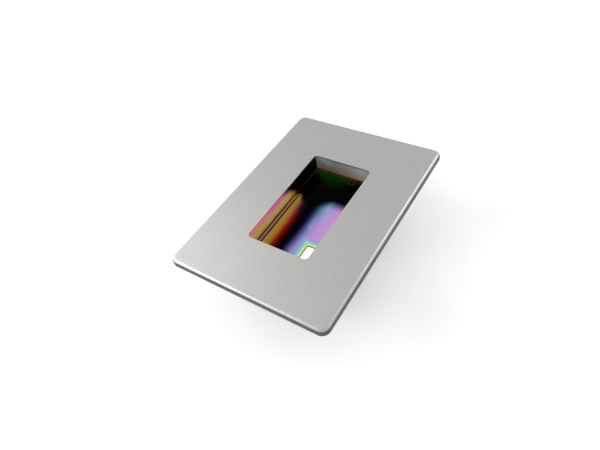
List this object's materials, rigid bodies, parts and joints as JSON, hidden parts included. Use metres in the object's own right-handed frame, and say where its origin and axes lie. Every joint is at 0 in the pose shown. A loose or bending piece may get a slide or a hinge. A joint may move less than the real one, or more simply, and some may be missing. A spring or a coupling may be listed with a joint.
{
  "type": "fingerprint scanner terminal",
  "caption": "Flush wall terminal: bead-blasted aluminium plate with a finger recess over a coated glass platen, and a sealed electronics housing behind.",
  "frame": {"origin": "centre of the wall screw pattern, on the wall plane at the back of the front plate's rim", "axes": "+Z out of the wall towards the user, +Y up the wall along the plate's long side, +X to the right"},
  "size_m": [0.084, 0.116, 0.033],
  "materials": {
    "plate_aluminium": "fine bead-blasted, clear anodised",
    "seal_foam": "closed-cell foam",
    "side_glass": "polished, interference coated",
    "gasket_silicone": "satin copper-orange silicone",
    "platen_glass": "polished, interference coated",
    "status_diffuser": "white diffuser, lit",
    "sensor_red": "dark red moulded",
    "sensor_black": "black moulded",
    "circuit_board": "green solder mask",
    "led_body": "moulded, clear window",
    "flex_film": "amber polyimide film",
    "carrier_black": "matt black moulded",
    "screw_steel": "zinc plated",
    "mirror_glass": "front silvered",
    "barrel_black": "black anodised",
    "lens_glass": "polished, coated",
    "filter_glass": "coated filter glass",
    "sensor_chip": "ceramic package with glass lid",
    "connector_ivory": "moulded nylon",
    "light_guide": "clear moulded acrylic",
    "chip_black": "moulded epoxy",
    "ferrite": "ferrite",
    "can_metal": "drawn can",
    "relay_case": "moulded case",
    "terminal_green": "moulded nylon",
    "pin_brass": "tin-bright brass",
    "spring_steel": "drawn spring wire",
    "button_red": "moulded",
    "housing_seal": "moulded rubber",
    "housing_plastic": "textured moulded",
    "frame_steel": "zinc plated spring steel"
  },
  "bodies": {
    "terminal": {"front_plate": "plate_aluminium", "plate_seal": "seal_foam", "side_window_left": "side_glass", "side_window_right": "side_glass", "platen_gasket": "gasket_silicone", "platen_glass": "platen_glass", "status_window": "status_diffuser", "sensor_ring": "sensor_red", "finger_sensor": "sensor_black", "light_strip_left": "circuit_board", "light_strip_right": "circuit_board", "infrared_leds": "led_body", "strip_flexes": "flex_film", "optics_carrier": "carrier_black", "carrier_screws": "screw_steel", "fold_mirror": "mirror_glass", "lens_barrel": "barrel_black", "front_lens": "lens_glass", "lens_holder": "carrier_black", "infrared_filter": "filter_glass", "image_sensor": "sensor_chip", "camera_board": "circuit_board", "camera_flex": "flex_film", "board_connector": "connector_ivory", "light_pipe": "light_guide", "status_leds": "led_body", "main_board": "circuit_board", "processor": "chip_black", "memory_chips": "chip_black", "power_inductor": "ferrite", "capacitors": "can_metal", "crystal_oscillator": "can_metal", "relay": "relay_case", "buzzer": "chip_black", "terminal_header": "terminal_green", "header_pins": "pin_brass", "tamper_switch": "chip_black", "tamper_spring": "spring_steel", "program_switch": "chip_black", "housing_seal": "housing_seal", "housing": "housing_plastic", "housing_screws": "screw_steel", "wall_frame": "frame_steel"},
    "terminal_plug": {"terminal_plug": "terminal_green", "clamp_screws": "screw_steel"},
    "tamper_plunger": {"tamper_plunger": "connector_ivory"},
    "program_button": {"program_button": "button_red"}
  },
  "joints": [
    {"name": "plug_slide", "type": "slide", "parent": "terminal", "child": "terminal_plug", "axis": [0, -1, 0], "range_m": [0, 0.0075]},
    {"name": "tamper_slide", "type": "slide", "parent": "terminal", "child": "tamper_plunger", "axis": [0, -1, 0], "range_m": [0, 0.0012], "stiffness_N_per_m": 400, "springref_m": -0.001, "deforming": ["tamper_spring"]},
    {"name": "button_press", "type": "slide", "parent": "terminal", "child": "program_button", "axis": [-1, 0, 0], "range_m": [0, 0.0006], "stiffness_N_per_m": 900, "springref_m": -0.0005}
  ]
}
